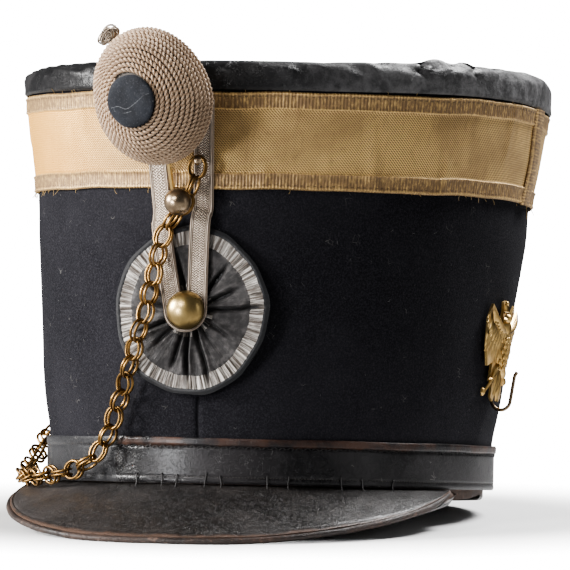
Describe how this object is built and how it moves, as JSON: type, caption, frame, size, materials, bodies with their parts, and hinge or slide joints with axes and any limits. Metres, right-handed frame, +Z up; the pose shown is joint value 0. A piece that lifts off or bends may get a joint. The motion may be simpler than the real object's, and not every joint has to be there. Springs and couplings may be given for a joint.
{
  "type": "shako hat",
  "caption": "Peaked black felt shako with gold braid, leather top, wound cord badge, cockade under a lace loop, side eagle fittings and a looped chain.",
  "frame": {"origin": "on the floor, below the middle of the hat's bounding box", "axes": "+Z up, the peak points along -Y and the wearer's left is +X; the hat rests on its peak and the back of its sweatband, so its base plane is tilted up by about 4 degrees at the front"},
  "size_m": [0.2028, 0.2944, 0.1929],
  "materials": {
    "felt": "matt black-blue wool cloth",
    "black_leather": "worn black leather, half gloss",
    "brown_leather": "scuffed dark brown leather",
    "gold_braid": "woven gold thread, aged",
    "silver_lace": "woven silver thread, tarnished",
    "silver_silk": "gathered black silk with a silver ring",
    "silver_cord": "twisted silver cord, aged",
    "velvet": "black velvet",
    "brass": "gilt brass, worn",
    "dark_brass": "dark tarnished brass"
  },
  "bodies": {
    "root": {"crown_wall": "felt", "crown_top": "black_leather", "gold_braid": "gold_braid", "base_band": "black_leather", "sweatband": "brown_leather", "peak": "brown_leather", "cockade": "silver_silk", "cockade_loop": "silver_lace", "loop_button": "brass", "chain_stud": "dark_brass", "field_badge": "silver_cord", "badge_velvet": "velvet", "badge_stem": "brass", "badge_knot": "silver_cord", "side_eagle_left": "brass", "side_eagle_right": "brass", "chain_hook_left": "dark_brass", "chain_eye_right": "dark_brass", "chain": "brass", "chain_pin": "dark_brass"}
  },
  "joints": []
}
